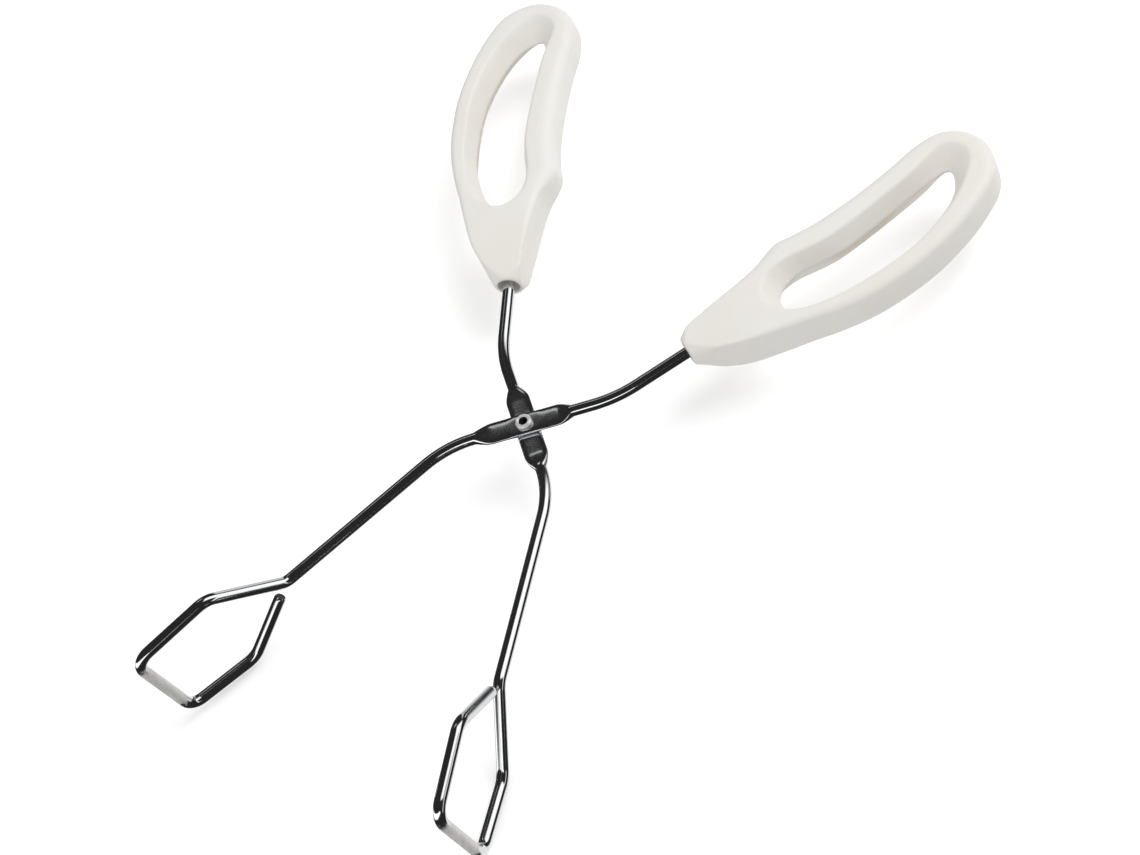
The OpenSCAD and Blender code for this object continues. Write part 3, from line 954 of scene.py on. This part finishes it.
def moulded_handle(handle, wire_diameter):
    """One moulding at the origin: the band round the finger hole, its neck cut, its edges soft."""
    half = handle.thickness / MM / 2
    sections = [
        handle_section(i / OUTLINE_STEPS, half) for i in range(len(HANDLE_OUTLINE) * OUTLINE_STEPS)]
    band = skinned("handle", sections, closed=True)
    tools = (
        (neck_keeper(handle), "INTERSECT"),
        (mouth_keeper(handle), "INTERSECT"),
        (socket_cutter(handle, wire_diameter), "DIFFERENCE"),
    )
    for tool, operation in tools:
        cut = band.modifiers.new(tool.name, "BOOLEAN")
        cut.object = tool
        cut.operation = operation
        cut.solver = "EXACT"
    even = band.modifiers.new("even_skin", "REMESH")
    even.mode = "VOXEL"
    even.voxel_size = handle.skin
    soft = band.modifiers.new("soft_edges", "SMOOTH")
    soft.factor = SOFTENING_FACTOR
    soft.iterations = handle.softening
    depsgraph = bpy.context.evaluated_depsgraph_get()
    mesh = bpy.data.meshes.new_from_object(band.evaluated_get(depsgraph), depsgraph=depsgraph)
    for used in (band, *(tool for tool, _ in tools)):
        bpy.data.objects.remove(used)
    for face in mesh.polygons:
        face.use_smooth = True
    # How far each place faces the middle of the finger hole, for the material.
    facing = [v.normal.dot((HOLE_MIDDLE - v.co).normalized()) for v in mesh.vertices]
    mesh.attributes.new("hole_wall", "FLOAT", "POINT").data.foreach_set("value", facing)
    return mesh


def handle_place(sizes, is_rear):
    """From the moulding's own plane to the arm that holds it."""
    _, mouth, _ = wire_corners(sizes, False)[1]
    across = Vector((math.cos(sizes.grip_angle), -math.sin(sizes.grip_angle), 0))
    place = Matrix((across, across.cross(-Z_AXIS), Z_AXIS)).transposed().to_4x4()
    place.translation = mouth
    return Matrix.Rotation(math.pi, 4, "Y") @ place if is_rear else place


class TONGS_OT_make_handles(Operator):
    """Makes the two moulded finger-loop handles"""

    bl_idname = "tongs.make_handles"
    bl_label = "Make handles"

    def execute(self, context):
        sizes = context.scene.tongs_wire
        moulding = moulded_handle(context.scene.tongs_handle, sizes.diameter)
        for arm, is_rear in ARMS:
            handle = bpy.data.objects.new(arm + "_moulded_handle", moulding.copy())
            handle.data.name = handle.name
            handle.data.transform(handle_place(sizes, is_rear))
            context.scene.collection.objects.link(handle)
            plastic = plastic_material(context.scene.tongs_plastic, layer_height(sizes, is_rear))
            handle.data.materials.clear()
            handle.data.materials.append(plastic)
            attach(handle, arm + "_arm")
            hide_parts(arm + "_arm_handle")
        return {"FINISHED"}


class TONGS_OT_finish_rivet(Operator):
    """Gives the hollow rivet its rolled steel"""

    bl_idname = "tongs.finish_rivet"
    bl_label = "Finish rivet"

    def execute(self, context):
        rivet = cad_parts["pivot_rivet"]
        rivet.data.materials.clear()
        rivet.data.materials.append(rivet_material())
        return {"FINISHED"}


# ---------------------------------------------------------------- camera and image points


SENSOR_WIDTH = 36.0
SHIFT_X, SHIFT_Y = 0.0, 0.0
LONG_SIDE = max(PHOTO_W, PHOTO_H)


def camera_matrix(studio):
    """The camera's place and its turn: it looks along its own -Z at the aim, then rolls."""
    place = Vector(studio.camera_place)
    turn = (Vector(studio.aim) - place).to_track_quat("-Z", "Y").to_matrix().to_4x4()
    return Matrix.Translation(place) @ turn @ Matrix.Rotation(studio.roll, 4, "Z")


def ray_through(point):
    """The camera's place and the direction through an image point."""
    studio = bpy.context.scene.tongs_studio
    matrix = camera_matrix(studio)
    x, y = point
    local = Vector((
        x - PHOTO_W / 2 + SHIFT_X * LONG_SIDE,
        PHOTO_H / 2 - y + SHIFT_Y * LONG_SIDE,
        -LONG_SIDE * studio.lens / SENSOR_WIDTH))
    return matrix.translation, (matrix.to_3x3() @ local).normalized()


def image_point(place):
    """Where a place shows in the photograph's frame."""
    studio = bpy.context.scene.tongs_studio
    local = camera_matrix(studio).inverted() @ Vector(place)
    scale = LONG_SIDE * studio.lens / SENSOR_WIDTH / -local.z
    return (
        PHOTO_W / 2 - SHIFT_X * LONG_SIDE + scale * local.x,
        PHOTO_H / 2 + SHIFT_Y * LONG_SIDE - scale * local.y)


def nearest_seen(point, carriers):
    """The place on the carriers that an image point shows, or else the place nearest its ray."""
    origin, towards = ray_through(point)
    vertices, polygons = [], []
    for carrier in carriers:
        first = len(vertices)
        vertices += [carrier.matrix_world @ v.co for v in carrier.data.vertices]
        polygons += [[first + i for i in face.vertices] for face in carrier.data.polygons]
    hit = BVHTree.FromPolygons(vertices, polygons).ray_cast(origin, towards)[0]
    if hit is not None:
        return hit
    return min(vertices, key=lambda v: (v - origin).cross(towards).length)


def measure_points(context):
    """Works out how far each thing shows from its image point, in pixels, but keeps none of the
    numbers.
    """
    sizes = context.scene.tongs_wire
    places = {"rivet": Vector((0, 0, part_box("pivot_rivet")[1].z))}
    for arm, is_rear in ARMS:
        for name, place, _ in wire_corners(sizes, is_rear):
            places[f"{arm}_{name}"] = place
        worn = arm + "_worn_tip"
        places[worn] = nearest_seen(PHOTO_POINTS[worn], [bpy.data.objects[arm + "_arm_bent_wire"]])
    for name, point in PHOTO_POINTS.items():
        x, y = image_point(places[name])
        round(x - point[0], 1)
        round(y - point[1], 1)
    seen = [
        image_point(piece.matrix_world @ v.co)
        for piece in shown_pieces() if piece.type == "MESH" for v in piece.data.vertices]
    in_view = [(x, y) for x, y in seen if 0 <= x <= PHOTO_W and 0 <= y <= PHOTO_H]
    xs, ys = [x for x, _ in in_view], [y for _, y in in_view]
    found = {"left": min(xs), "right": max(xs), "top": min(ys), "bottom": max(ys)}
    for side, value in found.items():
        round(value - PHOTO_EDGES[side], 1)


# ---------------------------------------------------------------- stage


FLOOR_SIZE = 6.0
FLOOR_COLOUR = (0.9, 0.9, 0.9, 1)
# The floor's own glow near the object and far from it, and where it changes.
FLOOR_GLOW = (0.3, 1)
FLOOR_FADE = (0.4, 1.6)
WHITE = (1, 1, 1, 1)


def pale_floor():
    """A matt pale floor with the object's shadow. The camera sees it as white, far away too."""
    mesh = bpy.data.meshes.new("floor")
    x = y = FLOOR_SIZE / 2
    mesh.from_pydata([(-x, -y, 0), (x, -y, 0), (x, y, 0), (-x, y, 0)], [], [(0, 1, 2, 3)])
    floor = bpy.data.objects.new("floor", mesh)
    bpy.context.scene.collection.objects.link(floor)
    floor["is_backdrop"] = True
    floor.location.z = CAD_LOW.z
    floor.visible_glossy = False
    material, tree = shader_tree("pale_floor")
    matt = tree.node("ShaderNodeBsdfDiffuse", None, {"Color": FLOOR_COLOUR}, "BSDF")
    seen = tree.node("ShaderNodeLightPath", None, None, "Is Camera Ray")
    away = tree.distance(tree.object_place(), (0, 0, 0)).ramp(*FLOOR_FADE, *FLOOR_GLOW)
    glow = tree.node(
        "ShaderNodeEmission", None, {"Color": WHITE, "Strength": seen * away}, "Emission")
    both = tree.node("ShaderNodeAddShader", None, {0: matt, 1: glow}, "Shader")
    tree.node("ShaderNodeOutputMaterial", None, {"Surface": both})
    floor.data.materials.append(material)


def direction(azimuth, elevation):
    a, e = math.radians(azimuth), math.radians(elevation)
    return Vector((math.cos(a) * math.cos(e), math.sin(a) * math.cos(e), math.sin(e)))


# The light cards that the metal mirrors, all far away. Six angles in degrees: azimuth, elevation,
# roll, half length, half width and softness of the edge. Then the brightness.
MIRRORED_CARDS = (
    (60, 41, -9, 18, 25, 11, 1.3),
    (258, 12.5, 29.5, 69, 12.5, 4, 1.4),
    (131, -9, -37, 43, 3.7, 10, 0.8),
    (40, 12.5, 16.5, 39, 4, 7, 1.3),
    (148, 43, 0, 9, 3, 5, 0.9),
)
MIRRORED_ROOM = 0.022
MIRRORED_TABLE = 0.92
# The table shows further up on the side that the camera faces.
TABLE_SIDE, TABLE_LIFT, TABLE_EDGE = 116, 0.67, (0.77, 0.93)


def mirrored_card(tree, towards, card):
    """Brightness of one soft-edged card in a direction."""
    azimuth, elevation, roll, half_length, half_width, soft, brightness = card
    centre = direction(azimuth, elevation)
    level = Z_AXIS.cross(centre).normalized()
    turn = Matrix.Rotation(math.radians(roll), 3, centre)
    ahead = tree.dot(towards, tuple(centre)).most(0.001)
    inside = brightness
    for axis, half in ((turn @ level, half_length), (turn @ centre.cross(level), half_width)):
        aside = abs(tree.dot(towards, tuple(axis)))
        angle = aside.maths("ARCTAN2", ahead)
        inside = inside * angle.ramp(math.radians(half + soft / 2), math.radians(half - soft / 2))
    return inside


def studio_world(studio):
    """Even light, a white backdrop, and for the metal a dark room with cards over a pale table."""
    world = bpy.data.worlds.new("studio")
    bpy.context.scene.world = world
    world.use_nodes = True
    world.node_tree.nodes.clear()
    tree = Tree(world.node_tree)
    camera_ray, glossy, transmitted = (
        tree.node("ShaderNodeLightPath", None, None, name)
        for name in ("Is Camera Ray", "Is Glossy Ray", "Is Transmission Ray"))
    mirrored = glossy.most(transmitted)
    towards = tree.node("ShaderNodeTexCoord", None, None, "Generated")
    below = -tree.component(towards, "Z")
    lifted = below + tree.dot(towards, tuple(direction(TABLE_SIDE, 0))) * TABLE_LIFT
    shown = lifted.ramp(*TABLE_EDGE, MIRRORED_ROOM, MIRRORED_TABLE)
    for card in MIRRORED_CARDS:
        shown = shown.most(mirrored_card(tree, towards, card))
    strength = mirrored * shown + (1 - mirrored) * studio.sky
    strength = camera_ray.most(strength * (1 - camera_ray))
    background = tree.node(
        "ShaderNodeBackground", None, {"Color": WHITE, "Strength": strength}, "Background")
    tree.node("ShaderNodeOutputWorld", None, {"Surface": background})


# The soft lamps that light the object: azimuth and elevation in degrees, then the diameter.
KEY_LAMP = (62, 50, 1.2)
FILL_LAMP = (-105, 22, 1.6)
LAMP_DISTANCE = 1.6


def soft_lamp(name, azimuth, elevation, diameter, power):
    """A round lamp that shines on the rivet. The metal doesn't mirror it."""
    light = bpy.data.lights.new(name, "AREA")
    light.shape = "DISK"
    light.size = diameter
    light.energy = power
    lamp = bpy.data.objects.new(name, light)
    lamp.location = direction(azimuth, elevation) * LAMP_DISTANCE
    lamp.rotation_euler = (-lamp.location).to_track_quat("-Z", "Y").to_euler()
    lamp.visible_glossy = False
    bpy.context.scene.collection.objects.link(lamp)


class TONGS_OT_make_stage(Operator):
    """Sets the floor, the lights, the cards that the metal reflects and the camera"""

    bl_idname = "tongs.make_stage"
    bl_label = "Make stage"

    def execute(self, context):
        studio = context.scene.tongs_studio
        pale_floor()
        studio_world(studio)
        soft_lamp("key_lamp", *KEY_LAMP, studio.key)
        soft_lamp("fill_lamp", *FILL_LAMP, studio.fill)
        camera = bpy.data.cameras.new("camera")
        camera.lens = studio.lens
        camera.sensor_width = SENSOR_WIDTH
        camera.sensor_fit = "AUTO"
        camera.shift_x, camera.shift_y = SHIFT_X, SHIFT_Y
        camera.dof.use_dof = False
        holder = bpy.data.objects.new("camera", camera)
        holder.matrix_world = camera_matrix(studio)
        context.scene.collection.objects.link(holder)
        context.scene.camera = holder
        context.scene.view_settings.view_transform = "Standard"
        return {"FINISHED"}


# ---------------------------------------------------------------- add-on


class VIEW3D_PT_tongs(Panel):
    """Lists the steps that build the tongs"""

    bl_label = "Lifting tongs"
    bl_space_type = "VIEW_3D"
    bl_region_type = "UI"
    bl_category = "Tongs"

    def draw(self, context):
        for step in STEPS:
            self.layout.operator(step.bl_idname)


STEPS = (TONGS_OT_make_wires, TONGS_OT_make_handles, TONGS_OT_finish_rivet, TONGS_OT_make_stage)
SETTINGS = {
    "tongs_wire": WireSizes,
    "tongs_handle": HandleSizes,
    "tongs_chrome": ChromeFinish,
    "tongs_plastic": PlasticFinish,
    "tongs_studio": StudioSettings,
}


def register():
    for name, group in SETTINGS.items():
        bpy.utils.register_class(group)
        setattr(bpy.types.Scene, name, PointerProperty(type=group))
    for step in (*STEPS, VIEW3D_PT_tongs):
        bpy.utils.register_class(step)


def unregister():
    for step in (*STEPS, VIEW3D_PT_tongs):
        bpy.utils.unregister_class(step)
    for name, group in SETTINGS.items():
        delattr(bpy.types.Scene, name)
        bpy.utils.unregister_class(group)


def main():
    register()
    bpy.ops.tongs.make_wires()
    bpy.ops.tongs.make_handles()
    bpy.ops.tongs.finish_rivet()
    bpy.ops.tongs.make_stage()
    measure_points(bpy.context)


if __name__ == "__main__":
    main()
